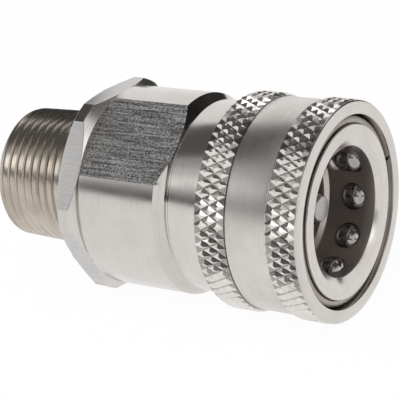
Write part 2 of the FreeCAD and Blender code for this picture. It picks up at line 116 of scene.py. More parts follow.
def draw_chain(name, corners):
    """A closed chain of edges through corners given as (along X, radius) in millimetres."""
    clear_selection()
    bpy.ops.mesh.primitive_plane_add(size=MM)
    piece = bpy.context.object
    piece.name = name
    piece.data.name = name
    bpy.ops.object.mode_set(mode="EDIT")
    bpy.ops.mesh.select_all(action="SELECT")
    bpy.ops.mesh.merge(type="CENTER")
    places = [Vector((along, radius, 0.0)) * MM for along, radius in corners]
    bpy.ops.transform.translate(value=places[0])
    for before, after in zip(places, places[1:] + places[:1]):
        bpy.ops.mesh.extrude_vertices_move(TRANSFORM_OT_translate={"value": after - before})
    bpy.ops.mesh.select_all(action="SELECT")
    bpy.ops.mesh.remove_doubles(threshold=CORNER_MERGE)
    return piece


def lathe(name, corners, segments=SEGMENTS):
    """Turn a closed half section into a solid about X."""
    piece = draw_chain(name, corners)
    bpy.ops.mesh.spin(steps=segments, angle=2 * math.pi, center=(0, 0, 0), axis=(1, 0, 0))
    bpy.ops.mesh.select_all(action="SELECT")
    bpy.ops.mesh.remove_doubles(threshold=SEAM_MERGE)
    bpy.ops.mesh.normals_make_consistent(inside=False)
    bpy.ops.object.mode_set(mode="OBJECT")
    print(name, "turned:", len(piece.data.polygons), "faces")
    return piece


def apply_modifier(piece, kind, **settings):
    """Add one modifier, set it up and apply it."""
    take(piece)
    modifier = piece.modifiers.new(kind.lower(), kind)
    for key, setting in settings.items():
        setattr(modifier, key, setting)
    bpy.ops.object.modifier_apply(modifier=modifier.name)


def soften_edges(piece, width_mm):
    """Break the sharp edges with a small round, as a file would."""
    apply_modifier(
        piece, "BEVEL", limit_method="ANGLE", angle_limit=math.radians(SHARP_ANGLE),
        width=width_mm * MM, segments=2, use_clamp_overlap=True,
    )


def cut_away(piece, cutter):
    """Cut one solid out of another and throw the cutter away.

    An exact Boolean can, very rarely, lose most of the solid, so a copy is kept to cut again.
    """
    whole = piece.data.copy()
    for solver in ("EXACT", "EXACT", "FAST"):
        apply_modifier(piece, "BOOLEAN", object=cutter, operation="DIFFERENCE", solver=solver)
        if len(piece.data.polygons) > len(whole.polygons) / 2:
            break
        print(piece.name, "was lost by the cut, cutting again")
        piece.data = whole.copy()
    bpy.data.meshes.remove(whole)
    bpy.data.objects.remove(cutter, do_unlink=True)


def join_pieces(main, *others):
    """Make several meshes one object."""
    take(main)
    for other in others:
        other.select_set(True)
    bpy.ops.object.join()
    return main


def smooth(piece, degrees=SHARP_ANGLE):
    """Round faces shade smoothly and real edges stay crisp."""
    take(piece)
    bpy.ops.object.shade_smooth_by_angle(angle=math.radians(degrees))


# %% [markdown]
# ## The end adaptor
# The rear end is a tapered pipe thread: it narrows by one in sixteen, so that it seals as it
# tightens. A thread is a groove wound round a blank. We turn the blank, wind a V-shaped cutter
# round it with the Screw modifier, let the cutter follow the taper, and cut it away with a
# Boolean. The crests stay broad and flat with rounded edges, which is how the real ones catch the
# light.

# %% Thread blank and groove
THREAD_END = -20.15
RUNOUT_END = -2.0
THREAD_RADIUS = 13.335
THREAD_TAPER = 1.0 / 32.0
THREAD_PITCH = 1.8143
THREAD_DEPTH = 0.62
THREAD_FLANK = math.radians(32)
OVERCUT = 0.3
END_CHAMFER = 1.2
PORT_RADIUS = 9.0
SPIGOT_RADIUS = 14.5
SPIGOT_END = 13.47
SEAL_GROOVE = 12.76
STEPS_PER_TURN = 90

thread_run = RUNOUT_END - THREAD_END
end_radius = THREAD_RADIUS - thread_run * THREAD_TAPER
adaptor = lathe("end_adaptor_steel", [
    (THREAD_END, PORT_RADIUS), (THREAD_END, end_radius - END_CHAMFER),
    (THREAD_END + END_CHAMFER, end_radius), (RUNOUT_END, THREAD_RADIUS), (0.5, THREAD_RADIUS),
    (4.6, 14.0), (5.4, SPIGOT_RADIUS), (5.4, SEAL_GROOVE), (7.78, SEAL_GROOVE),
    (7.78, SPIGOT_RADIUS), (SPIGOT_END, SPIGOT_RADIUS), (SPIGOT_END, 11.59), (10.48, 11.59),
    (7.9, PORT_RADIUS),
])
soften_edges(adaptor, width_mm=0.12)

groove_start = THREAD_END - THREAD_PITCH / 2
half_width = (THREAD_DEPTH + OVERCUT) * math.tan(THREAD_FLANK)
groove = draw_chain("thread_groove", [
    (groove_start - half_width, THREAD_RADIUS + OVERCUT),
    (groove_start + half_width, THREAD_RADIUS + OVERCUT),
    (groove_start, THREAD_RADIUS - THREAD_DEPTH),
])
turns = thread_run / THREAD_PITCH
steps = int(STEPS_PER_TURN * turns)
apply_modifier(
    groove, "SCREW", axis="X", angle=2 * math.pi * turns, screw_offset=thread_run * MM,
    steps=steps, render_steps=steps, use_merge_vertices=False,
)
for vertex in groove.data.vertices:
    behind_runout = min(0.0, vertex.co.x - RUNOUT_END * MM)
    radius = math.hypot(vertex.co.y, vertex.co.z)
    grow = (radius + behind_runout * THREAD_TAPER) / radius
    vertex.co.y *= grow
    vertex.co.z *= grow
take(groove)
bpy.ops.object.mode_set(mode="EDIT")
bpy.ops.mesh.select_all(action="SELECT")
bpy.ops.mesh.remove_doubles(threshold=COIL_MERGE)
bpy.ops.mesh.fill_holes(sides=0)
bpy.ops.mesh.normals_make_consistent(inside=False)
bpy.ops.object.mode_set(mode="OBJECT")
cut_away(adaptor, groove)
soften_edges(adaptor, width_mm=0.2)
print("thread cut:", len(adaptor.data.polygons), "faces")

# %% [markdown]
# The flange is a hexagon whose corners were turned down on the lathe before the flats were
# milled, so each corner keeps a narrow strip of the round. We do the same: turn a disc with a
# chamfer on both rims and slice six flats off it with bisect, filling each slice.

# %% Hexagon flange
FLANGE_LENGTH = 4.5
FLANGE_FLAT = 18.85
FLANGE_CORNER = 20.7
FLANGE_FACE = 18.75
FLANGE_CHAMFER = 1.13
FLANGE_BORE = 12.0
HEXAGON_SIDES = 6
FIRST_SIDE_ANGLE = 30
flange = lathe("flange_hexagon", [
    (0.0, FLANGE_BORE), (0.0, FLANGE_FACE), (FLANGE_CHAMFER, FLANGE_CORNER),
    (FLANGE_LENGTH - FLANGE_CHAMFER, FLANGE_CORNER), (FLANGE_LENGTH, FLANGE_FACE),
    (FLANGE_LENGTH, FLANGE_BORE),
], segments=240)
take(flange)
bpy.ops.object.mode_set(mode="EDIT")
for side in range(HEXAGON_SIDES):
    turn = math.radians(FIRST_SIDE_ANGLE + 360 / HEXAGON_SIDES * side)
    outward = Vector((0.0, math.cos(turn), math.sin(turn)))
    bpy.ops.mesh.select_all(action="SELECT")
    bpy.ops.mesh.bisect(
        plane_co=outward * FLANGE_FLAT * MM, plane_no=outward, use_fill=True, clear_outer=True,
    )
bpy.ops.object.mode_set(mode="OBJECT")
soften_edges(flange, width_mm=0.1)
print("flange with flats:", len(flange.data.polygons), "faces")

# %% [markdown]
# ## The coupler body
# The body is one long turning: a thick round rear end for the wrench, a chamfer and a thin relief
# groove, the collar that the sleeve slides over, and the barrel inside the sleeve with its ball
# holes. Inside it are the socket for the plug, the groove of the plug seal, the valve seat and
# the valve chamber. Two flats are milled into the rear end, and ten tapered holes hold the balls:
# both are Boolean cuts.

# %% Turn the body
WRENCH_END = [(4.5, 14.6), (4.5, 18.75), (5.0, 19.25), (21.4, 19.25)]
RELIEF_END = 23.7
SHOULDER = [(23.0, 17.0), (RELIEF_END, 17.0), (RELIEF_END, 17.7), (24.15, 18.15)]
COLLAR = [(32.25, 18.15), (32.5, 17.9), (32.5, 16.0)]
RING_GROOVE = [(48.99, 16.0), (48.99, 15.6), (50.89, 15.6), (50.89, 16.0)]
NOSE = [(51.25, 16.0), (51.35, 15.9), (51.35, 13.6), (50.5, 12.0)]
SOCKET = [(48.5, 12.0), (48.5, 12.2), (40.8, 12.2), (40.0, 11.4)]
PLUG_SEAL_GROOVE = [(38.9, 11.4), (38.9, 13.6), (35.15, 13.6), (35.15, 11.4)]
VALVE_THROAT = [(32.0, 11.4), (32.0, 8.5), (31.5, 8.0), (29.5, 8.0), (28.0, 9.5)]
VALVE_CHAMBER = [(28.0, 11.3), (16.48, 11.3), (16.48, 13.1), (13.48, 13.1), (13.48, 14.6)]
body = lathe(
    "coupler_body_steel",
    WRENCH_END + SHOULDER + COLLAR + RING_GROOVE + NOSE + SOCKET + PLUG_SEAL_GROOVE
    + VALVE_THROAT + VALVE_CHAMBER,
)
soften_edges(body, width_mm=0.1)

# %% Mill the wrench flats
FLAT_HEIGHT = 17.2
FLATS_ANGLE = 128.0
MILL_DEPTH = 10.0
MILL_WIDTH = 60.0
for side in (0.0, 180.0):
    clear_selection()
    bpy.ops.mesh.primitive_cube_add(size=1.0)
    mill = bpy.context.object
    size = Matrix.Diagonal((RELIEF_END * MM, MILL_DEPTH * MM, MILL_WIDTH * MM, 1.0))
    shift = Matrix.Translation((RELIEF_END * MM / 2, (FLAT_HEIGHT + MILL_DEPTH / 2) * MM, 0.0))
    mill.data.transform(Matrix.Rotation(math.radians(FLATS_ANGLE + side), 4, "X") @ shift @ size)
    cut_away(body, mill)
print("flats milled:", len(body.data.polygons), "faces")

# %% Drill the ball holes
BALL_X = 45.85
BALL_CIRCLE = 13.308
BALL_RADIUS = 2.778
BALL_COUNT = 10
FIRST_BALL_ANGLE = -10.0
BALL_ANGLES = [FIRST_BALL_ANGLE + 360.0 / BALL_COUNT * number for number in range(BALL_COUNT)]
LIP_RADIUS = 2.58
HOLE_RADIUS = 2.878
drill = lathe("ball_drill", [
    (8.0, 0.0), (8.0, LIP_RADIUS), (12.2, LIP_RADIUS), (13.1, HOLE_RADIUS), (17.5, HOLE_RADIUS),
    (17.5, 0.0),
], segments=48)
drills = []
for turn in BALL_ANGLES:
    copy = drill.copy()
    copy.data = drill.data.copy()
    bpy.context.collection.objects.link(copy)
    stand = Matrix.Rotation(math.radians(90), 4, "Z")
    place = Matrix.Translation((BALL_X * MM, 0.0, 0.0))
    copy.data.transform(place @ Matrix.Rotation(math.radians(turn), 4, "X") @ stand)
    drills.append(copy)
bpy.data.objects.remove(drill, do_unlink=True)
cut_away(body, join_pieces(*drills))
print("ball holes drilled:", len(body.data.polygons), "faces")

# %% [markdown]
# ## The locking sleeve
# The sleeve is turned too, with a release cone and a locking land inside. Its grip is a diamond
# knurl: rows of little pyramids with blunt tips, left between two sets of grooves that cross at
# 30 degrees to the axis. To make one band we extrude a ring of rectangles, poke each one to a fan
# of triangles, and dissolve the old rectangle edges. What remains is a net of diamonds with their
# long points along the axis. An inset with depth then raises a blunt pyramid on every whole
# diamond. Two bisects trim the band to its width, through the pyramids, as the edge of the real
# grip was trimmed on the lathe.

# %% Turn the sleeve
UNDER_GRIP = 19.6
BAND_RADIUS = 19.8
LAND_RADIUS = 16.35
COIL_ROOM = 18.25
SLEEVE_COIL_END = 43.5
sleeve = lathe("locking_sleeve_steel", [
    (30.7, COIL_ROOM), (30.7, UNDER_GRIP), (36.9, UNDER_GRIP), (37.1, BAND_RADIUS),
    (44.93, BAND_RADIUS), (45.13, UNDER_GRIP), (51.1, UNDER_GRIP), (51.1, 20.2), (51.2, 20.33),
    (51.5, 20.05), (51.5, 17.8), (50.75, 17.8), (46.15, LAND_RADIUS),
    (SLEEVE_COIL_END, LAND_RADIUS), (SLEEVE_COIL_END, COIL_ROOM),
])
soften_edges(sleeve, width_mm=0.1)

# %% Knurl a band
SLEEVE_RADIUS = 20.4
KNURL_TEETH = 66
KNURL_ROWS = 2
KNURL_HEIGHT = 0.5
KNURL_SLOPE = 0.60
KNURL_ROOT = SLEEVE_RADIUS - KNURL_HEIGHT
KNURL_UNDER = 19.4
KNURL_ANGLE = 30
KNURL_PITCH = 2 * math.pi * SLEEVE_RADIUS / KNURL_TEETH
KNURL_STEP = KNURL_PITCH / math.tan(math.radians(KNURL_ANGLE))


def knurled_band(name, start, end):
    """A closed ring of diamond pyramids between two places along X."""
    clear_selection()
    first = (start + end - KNURL_ROWS * KNURL_STEP) / 2
    bpy.ops.mesh.primitive_circle_add(
        vertices=KNURL_TEETH, radius=KNURL_ROOT * MM, fill_type="NOTHING",
        location=(first * MM, 0, 0), rotation=(0, math.radians(90), 0),
    )
    band = bpy.context.object
    band.name = name
    bpy.ops.object.transform_apply(location=True, rotation=True, scale=True)
    band.data.transform(Matrix.Rotation(math.pi / 2, 4, "X"))
    bpy.ops.object.mode_set(mode="EDIT")
    bpy.ops.mesh.select_all(action="SELECT")
    step = Vector((KNURL_STEP * MM, 0.0, 0.0))
    for _ in range(KNURL_ROWS):
        bpy.ops.mesh.extrude_edges_move(TRANSFORM_OT_translate={"value": step})
    bpy.ops.mesh.select_all(action="SELECT")
    bpy.ops.mesh.normals_make_consistent(inside=False)
    bpy.ops.object.mode_set(mode="OBJECT")
    corner_count = len(band.data.vertices)

    bpy.ops.object.mode_set(mode="EDIT")
    bpy.ops.mesh.poke()
    bpy.ops.mesh.select_mode(type="EDGE")
    bpy.ops.mesh.select_all(action="DESELECT")
    bpy.ops.object.mode_set(mode="OBJECT")
    faces_at = {}
    for face in band.data.polygons:
        for key in face.edge_keys:
            faces_at[key] = faces_at.get(key, 0) + 1
    for edge in band.data.edges:
        old = max(edge.vertices) < corner_count
        edge.select = old and faces_at[tuple(sorted(edge.vertices))] == 2
    bpy.ops.object.mode_set(mode="EDIT")
    bpy.ops.mesh.dissolve_edges(use_verts=False)
    bpy.ops.mesh.select_mode(type="FACE")
    bpy.ops.mesh.select_all(action="DESELECT")
    bpy.ops.object.mode_set(mode="OBJECT")
    for face in band.data.polygons:
        face.select = len(face.vertices) == 4
    bpy.ops.object.mode_set(mode="EDIT")
    bpy.ops.mesh.inset(
        use_individual=True, thickness=KNURL_SLOPE * MM, depth=KNURL_HEIGHT * MM,
    )

    for place, outward in ((start, -1), (end, 1)):
        bpy.ops.mesh.select_all(action="SELECT")
        bpy.ops.mesh.bisect(
            plane_co=(place * MM, 0, 0), plane_no=(outward, 0, 0), clear_outer=True,
        )
    bpy.ops.mesh.select_mode(type="EDGE")
    bpy.ops.mesh.select_all(action="DESELECT")
    bpy.ops.mesh.select_non_manifold()
    bpy.ops.mesh.extrude_edges_move()
    bpy.ops.object.mode_set(mode="OBJECT")
    for vertex in band.data.vertices:
        if vertex.select:
            shrink = KNURL_UNDER * MM / math.hypot(vertex.co.y, vertex.co.z)
            vertex.co.yz = vertex.co.yz * shrink
    bpy.ops.object.mode_set(mode="EDIT")
    bpy.ops.mesh.bridge_edge_loops()
    bpy.ops.mesh.select_all(action="SELECT")
    bpy.ops.mesh.normals_make_consistent(inside=False)
    bpy.ops.mesh.select_mode(type="VERT")
    bpy.ops.object.mode_set(mode="OBJECT")
    print(name, "knurled:", len(band.data.polygons), "faces")
    return band


rear_grip = knurled_band("rear_grip", start=30.85, end=36.9)
front_grip = knurled_band("front_grip", start=45.32, end=51.17)

# %% [markdown]
# ## Balls, ring and valve
# A ball starts as a cube whose faces are subdivided and then pushed out to a sphere, which gives
# even faces and no poles. It is made once and copied, each copy with its own mesh, because every
# ball rides on its own body. The wire ring that stops the sleeve is an open spin with its ends
# closed, and the valve poppet is one more turning.

# %% Locking balls
clear_selection()
bpy.ops.mesh.primitive_cube_add(size=2 * BALL_RADIUS * MM)
first_ball = bpy.context.object
bpy.ops.object.mode_set(mode="EDIT")
bpy.ops.mesh.select_all(action="SELECT")
bpy.ops.mesh.subdivide(number_cuts=15)
bpy.ops.transform.tosphere(value=1.0)
bpy.ops.object.mode_set(mode="OBJECT")
for vertex in first_ball.data.vertices:
    vertex.co *= BALL_RADIUS * MM / vertex.co.length
balls = []
for number, turn in enumerate(BALL_ANGLES):
    ball = first_ball.copy()
    ball.data = first_ball.data.copy()
    ball.name = f"lock_ball_{number + 1:02d}"
    bpy.context.collection.objects.link(ball)
    outward = Matrix.Translation((0.0, BALL_CIRCLE * MM, 0.0))
    place = Matrix.Rotation(math.radians(turn), 4, "X") @ outward
    ball.data.transform(Matrix.Translation((BALL_X * MM, 0.0, 0.0)) @ place)
    smooth(ball, degrees=80)
    balls.append(ball)
bpy.data.objects.remove(first_ball, do_unlink=True)
print("balls:", len(balls))

# %% Wire ring of the sleeve
RING_X = 49.944
RING_RADIUS = 16.55
RING_WIRE = 0.9
RING_GAP = 2.0
RING_GAP_AT = 10.0
clear_selection()
bpy.ops.mesh.primitive_circle_add(
    vertices=24, radius=RING_WIRE * MM, fill_type="NOTHING",
    location=(RING_X * MM, RING_RADIUS * MM, 0),
)
ring = bpy.context.object
ring.name = "sleeve_stop_ring"
bpy.ops.object.transform_apply(location=True, rotation=True, scale=True)
ring.data.transform(Matrix.Rotation(math.radians(RING_GAP_AT + RING_GAP / 2), 4, "X"))
bpy.ops.object.mode_set(mode="EDIT")
bpy.ops.mesh.select_all(action="SELECT")
bpy.ops.mesh.spin(
    steps=170, angle=math.radians(360 - RING_GAP), center=(0, 0, 0), axis=(1, 0, 0),
)
bpy.ops.mesh.select_all(action="SELECT")
bpy.ops.mesh.fill_holes(sides=0)
bpy.ops.mesh.normals_make_consistent(inside=False)
bpy.ops.object.mode_set(mode="OBJECT")
print("stop ring:", len(ring.data.polygons), "faces")

# %% Valve poppet
VALVE_COIL_END = 25.96
STEM = [(12.48, 0.0), (12.48, 2.5), (12.9, 2.9), (24.46, 2.9), (24.46, 6.4)]
HEAD = [(VALVE_COIL_END, 6.4), (VALVE_COIL_END, 10.2), (27.16, 10.2), (28.3, 9.06)]
SEAL_SEAT = [(28.3, 7.4), (29.1, 7.4), (29.1, 8.26), (29.9, 7.46)]
PIN = [(29.9, 5.0), (32.9, 2.5), (45.55, 2.5), (45.85, 2.2), (45.85, 0.0)]
poppet = lathe("valve_poppet_steel", STEM + HEAD + SEAL_SEAT + PIN, segments=120)
soften_edges(poppet, width_mm=0.06)

# %% [markdown]
# ## Springs
# Two coil springs work out of sight: one pushes the sleeve forward, the other closes the valve. A
# coil is a wire circle wound by the Screw modifier.

# %% Wind the coils
COIL_STEPS_PER_TURN = 48


def wind_coil(name, start, end, radius, wire, turns):
    """A round-wire coil about X between two seats, with its two cut ends closed."""
    clear_selection()
    bpy.ops.mesh.primitive_circle_add(
        vertices=16, radius=wire / 2 * MM, fill_type="NOTHING",
        location=((start + wire / 2) * MM, radius * MM, 0),
    )
    coil = bpy.context.object
    coil.name = name
    bpy.ops.object.transform_apply(location=True, rotation=True, scale=True)
    steps = int(COIL_STEPS_PER_TURN * turns)
    apply_modifier(
        coil, "SCREW", axis="X", angle=2 * math.pi * turns,
        screw_offset=(end - start - wire) * MM, iterations=1, steps=steps, render_steps=steps,
        use_merge_vertices=False,
    )
    bpy.ops.object.mode_set(mode="EDIT")
    bpy.ops.mesh.select_all(action="SELECT")
    bpy.ops.mesh.remove_doubles(threshold=COIL_MERGE)
    bpy.ops.mesh.fill_holes(sides=0)
    bpy.ops.mesh.normals_make_consistent(inside=False)
    bpy.ops.object.mode_set(mode="OBJECT")
    smooth(coil, degrees=50)
    print(name, "wound:", len(coil.data.polygons), "faces")
    return coil


SLEEVE_SEAT = 32.5
VALVE_SEAT = 16.48
sleeve_coil = wind_coil(
    "sleeve_coil", SLEEVE_SEAT, SLEEVE_COIL_END, radius=17.075, wire=1.4, turns=4.0,
)
valve_coil = wind_coil(
    "valve_coil", VALVE_SEAT, VALVE_COIL_END, radius=7.1875, wire=1.2, turns=3.4,
)

# %% [markdown]
# ## Finishes
# Nearly everything here is bare steel, so the finishes differ in how the metal was worked more than
# in colour. Two effects appear in several materials and become node groups: the fine rings that a
# lathe tool leaves, which run round the axis on a cylinder and in circles on an end face, and a
# soft haze of handling that makes the gloss uneven. Both read Object coordinates, which are
# metres here, so their scales are large numbers.

# %% Node group: rings left by the lathe tool


def new_group(name, inputs, outputs):
    """An empty shader group with named sockets, and its two end nodes."""
    group = bpy.data.node_groups.new(name, "ShaderNodeTree")
    for socket, kind in inputs:
        group.interface.new_socket(name=socket, in_out="INPUT", socket_type=kind)
    for socket, kind in outputs:
        group.interface.new_socket(name=socket, in_out="OUTPUT", socket_type=kind)
    start = group.nodes.new("NodeGroupInput")
    end = group.nodes.new("NodeGroupOutput")
    return group, start, end


def math_node(tree, operation, first, second=None):
    """A Math node whose inputs are sockets or plain numbers."""
    node = tree.nodes.new("ShaderNodeMath")
    node.operation = operation
    for slot, value in enumerate((first, second)):
        if value is None:
            continue
        if isinstance(value, (int, float)):
            node.inputs[slot].default_value = value
        else:
            tree.links.new(value, node.inputs[slot])
    return node.outputs[0]


def noise_node(tree, vector, scale, detail=2.0, rough=0.5):
    """A Noise texture's grey value."""
    node = tree.nodes.new("ShaderNodeTexNoise")
    node.inputs["Scale"].default_value = scale
    node.inputs["Detail"].default_value = detail
    node.inputs["Roughness"].default_value = rough
    tree.links.new(vector, node.inputs["Vector"])
    return node.outputs["Fac"]


ON_AXIS = 0.0001
lathe_rings, ring_in, ring_out = new_group(
    "lathe_rings",
    [("Vector", "NodeSocketVector"), ("Lines per Metre", "NodeSocketFloat")],
    [("Rings", "NodeSocketFloat")],
)
split = lathe_rings.nodes.new("ShaderNodeSeparateXYZ")
lathe_rings.links.new(ring_in.outputs["Vector"], split.inputs[0])
square_y = math_node(lathe_rings, "MULTIPLY", split.outputs["Y"], split.outputs["Y"])
square_z = math_node(lathe_rings, "MULTIPLY", split.outputs["Z"], split.outputs["Z"])
radius_out = math_node(lathe_rings, "SQRT", math_node(lathe_rings, "ADD", square_y, square_z))
radius_safe = math_node(lathe_rings, "MAXIMUM", radius_out, ON_AXIS)
run = math_node(lathe_rings, "ADD", split.outputs["X"], radius_out)
dense = math_node(lathe_rings, "MULTIPLY", run, ring_in.outputs["Lines per Metre"])
around_y = math_node(lathe_rings, "DIVIDE", split.outputs["Y"], radius_safe)
around_z = math_node(lathe_rings, "DIVIDE", split.outputs["Z"], radius_safe)
wound = lathe_rings.nodes.new("ShaderNodeCombineXYZ")
lathe_rings.links.new(dense, wound.inputs["X"])
lathe_rings.links.new(around_y, wound.inputs["Y"])
lathe_rings.links.new(around_z, wound.inputs["Z"])
rings = noise_node(lathe_rings, wound.outputs[0], 1.0, detail=3.0, rough=0.6)
lathe_rings.links.new(rings, ring_out.inputs["Rings"])
print("node group", lathe_rings.name)

# %% Node group: haze of handling
HAZE_SCALE = 140.0
handling_haze, haze_in, haze_out = new_group(
    "handling_haze", [("Vector", "NodeSocketVector")], [("Haze", "NodeSocketFloat")],
)
haze_marks = noise_node(
    handling_haze, haze_in.outputs["Vector"], HAZE_SCALE, detail=4.0, rough=0.6,
)
handling_haze.links.new(haze_marks, haze_out.inputs["Haze"])
print("node group", handling_haze.name)

# %% Turned steel in several grades


def new_finish(name, metallic):
    """A material, its node tree, its shader, and the place on the object for the patterns."""
    material = bpy.data.materials.new(name)
    material.use_nodes = True
    tree = material.node_tree
    shader = tree.nodes["Principled BSDF"]
    shader.inputs["Metallic"].default_value = metallic
    place = tree.nodes.new("ShaderNodeTexCoord").outputs["Object"]
    print("material", name)
    return material, tree, shader, place


def blend_colours(tree, factor, first, second):
    """A colour that runs from the first to the second, each a socket or a plain colour."""
    node = tree.nodes.new("ShaderNodeMix")
    node.data_type = "RGBA"
    tree.links.new(factor, node.inputs["Factor"])
    for slot, colour in (("A", first), ("B", second)):
        if isinstance(colour, tuple):
            node.inputs[slot].default_value = (*colour, 1.0)
        else:
            tree.links.new(colour, node.inputs[slot])
    return node.outputs["Result"]


def remap(tree, value, start=0.0, end=1.0, low=0.0, high=1.0):
    """A grey value stretched from start and end to low and high, and held between them."""
    node = tree.nodes.new("ShaderNodeMapRange")
    node.inputs["From Min"].default_value = start
    node.inputs["From Max"].default_value = end
    node.inputs["To Min"].default_value = low
    node.inputs["To Max"].default_value = high
    tree.links.new(value, node.inputs["Value"])
    return node.outputs["Result"]


def add_relief(tree, shader, height, strength, depth_mm):
    """Relief that is too fine to model, from a grey value."""
    bump = tree.nodes.new("ShaderNodeBump")
    bump.inputs["Strength"].default_value = strength
    bump.inputs["Distance"].default_value = depth_mm * MM
    tree.links.new(height, bump.inputs["Height"])
    tree.links.new(bump.outputs["Normal"], shader.inputs["Normal"])


def steel(name, light, dark, smoothest, roughest, lines=9000.0, ring_depth=0.15):
    """Bare steel with lathe rings and handling haze in colour, gloss and relief."""
    material, tree, shader, place = new_finish(name, metallic=1.0)
    ring_marks = tree.nodes.new("ShaderNodeGroup")
    ring_marks.node_tree = lathe_rings
    ring_marks.inputs["Lines per Metre"].default_value = lines
    tree.links.new(place, ring_marks.inputs["Vector"])
    haze = tree.nodes.new("ShaderNodeGroup")
    haze.node_tree = handling_haze
    tree.links.new(place, haze.inputs["Vector"])
    mixed = math_node(tree, "ADD", ring_marks.outputs["Rings"], haze.outputs["Haze"])
    half = math_node(tree, "MULTIPLY", mixed, 0.5)
    tone = remap(tree, half, start=0.35, end=0.65)
    tree.links.new(blend_colours(tree, tone, light, dark), shader.inputs["Base Color"])
    gloss = remap(tree, half, start=0.3, end=0.7, low=smoothest, high=roughest)
    tree.links.new(gloss, shader.inputs["Roughness"])
    add_relief(tree, shader, ring_marks.outputs["Rings"], ring_depth, depth_mm=0.03)
    return material


turned_steel = steel("turned_steel", (0.68, 0.645, 0.615), (0.58, 0.55, 0.525), 0.14, 0.26)
band_steel = steel("band_steel", (0.69, 0.655, 0.625), (0.57, 0.54, 0.515), 0.24, 0.42, 7000.0)
thread_steel = steel(
    "thread_steel", (0.58, 0.525, 0.465), (0.38, 0.33, 0.27), 0.18, 0.32, 5000.0, 0.3,
)
knurl_steel = steel(
    "knurl_steel", (0.80, 0.765, 0.73), (0.65, 0.62, 0.59), 0.12, 0.24, 3000.0, 0.05,
)
socket_steel = steel("socket_steel", (0.66, 0.60, 0.57), (0.50, 0.455, 0.43), 0.28, 0.44)
ball_steel = steel(
    "ball_steel", (0.42, 0.40, 0.385), (0.31, 0.30, 0.29), 0.10, 0.20, 600.0, 0.02,
)
valve_steel = steel("valve_steel", (0.50, 0.485, 0.47), (0.36, 0.35, 0.34), 0.28, 0.42)
edge_steel = steel(
    "edge_steel", (0.62, 0.59, 0.565), (0.54, 0.515, 0.49), 0.06, 0.12, 9000.0, 0.03,
)
spring_steel = steel(
    "spring_steel", (0.50, 0.50, 0.50), (0.36, 0.36, 0.37), 0.25, 0.40, 2000.0, 0.05,
)
wire_steel = steel(
    "wire_steel", (0.40, 0.365, 0.33), (0.26, 0.235, 0.21), 0.22, 0.36, 2000.0, 0.05,
)

# %% [markdown]
# The bottom of a knurl's grooves lies in shade, and that shade is painted into the colour: it draws
# thin dark lines round every tooth. How deep a point lies is simply its distance from the axis, so
# the painted shade is a mask made from the Y and Z of the place.

# %% Painted shade in the grooves
# Painted shade: the knurl's colour turns to this darker grey towards the bottom of its grooves.
GROOVE_SHADE_FLOOR = KNURL_ROOT - 0.02
GROOVE_SHADE_TOP = KNURL_ROOT + 0.12
GROOVE_SHADE = (0.36, 0.34, 0.32)

tree = knurl_steel.node_tree
base = tree.nodes["Principled BSDF"].inputs["Base Color"]
bare_steel = base.links[0].from_socket
across = tree.nodes.new("ShaderNodeVectorMath")
across.operation = "MULTIPLY"
across.inputs[1].default_value = (0.0, 1.0, 1.0)
tree.links.new(tree.nodes.new("ShaderNodeTexCoord").outputs["Object"], across.inputs[0])
from_axis = tree.nodes.new("ShaderNodeVectorMath")
from_axis.operation = "LENGTH"
tree.links.new(across.outputs["Vector"], from_axis.inputs[0])
# Painted shade: this depth mask blends the darker grey in towards the groove bottoms.
height = remap(tree, from_axis.outputs["Value"], start=GROOVE_SHADE_FLOOR * MM, end=GROOVE_SHADE_TOP * MM)
tree.links.new(blend_colours(tree, height, GROOVE_SHADE, bare_steel), base)
print("painted_shade in the grooves of", knurl_steel.name)

# %% [markdown]
# The flats were milled, not turned. A milling cutter leaves fine straight streaks, and the steel
# between them keeps a speckle that glitters where the light just misses the mirror angle. So the
# milled finish mixes a noise that is stretched along X with a second one of fine grain.

# %% Milled steel
STREAK_SCALE = (120.0, 2600.0, 2600.0)
GRAIN_SCALE = 3600.0


def milled(name, light, dark, smoothest, roughest, relief, grain_share):
    """Bare steel with straight streaks along the axis and a speckle."""
    material, tree, shader, place = new_finish(name, metallic=1.0)
    stretch = tree.nodes.new("ShaderNodeMapping")
    stretch.inputs["Scale"].default_value = STREAK_SCALE
    tree.links.new(place, stretch.inputs["Vector"])
    streaks = noise_node(tree, stretch.outputs["Vector"], 1.0, detail=4.0, rough=0.65)
    grain = noise_node(tree, place, GRAIN_SCALE, detail=2.0, rough=0.7)
    streak_tone = math_node(tree, "MULTIPLY", streaks, 1.0 - grain_share)
    tone = math_node(tree, "ADD", streak_tone, math_node(tree, "MULTIPLY", grain, grain_share))
    contrast = remap(tree, tone, start=0.47, end=0.60)
    tree.links.new(blend_colours(tree, contrast, dark, light), shader.inputs["Base Color"])
    gloss = remap(tree, contrast, low=smoothest, high=roughest)
    tree.links.new(gloss, shader.inputs["Roughness"])
    add_relief(tree, shader, tone, relief, depth_mm=0.06)
    return material


flange_steel = milled(
    "flange_steel", (0.66, 0.65, 0.64), (0.54, 0.53, 0.525), 0.30, 0.42,
    relief=0.12, grain_share=0.3,
)
flat_steel = milled(
    "flat_steel", (0.96, 0.95, 0.94), (0.50, 0.49, 0.485), 0.24, 0.68,
    relief=1.4, grain_share=0.6,
)

# %% [markdown]
# Rubber and plastic are the only parts that aren't metal. Moulded rubber is nearly black, with a
# soft bloom on its surface. The backup ring is white plastic with a faint mottle.

# %% Rubber and plastic
BLOOM_SCALE = 420.0
PORE_SCALE = 2500.0


def moulded(name, light, dark, smoothest, roughest):
    """A moulded finish with an uneven bloom."""
    material, tree, shader, place = new_finish(name, metallic=0.0)
    bloom = noise_node(tree, place, BLOOM_SCALE, detail=4.0, rough=0.6)
    tree.links.new(blend_colours(tree, bloom, dark, light), shader.inputs["Base Color"])
    gloss = remap(tree, bloom, low=smoothest, high=roughest)
    tree.links.new(gloss, shader.inputs["Roughness"])
    pores = noise_node(tree, place, PORE_SCALE)
    add_relief(tree, shader, pores, strength=0.1, depth_mm=0.05)
    return material


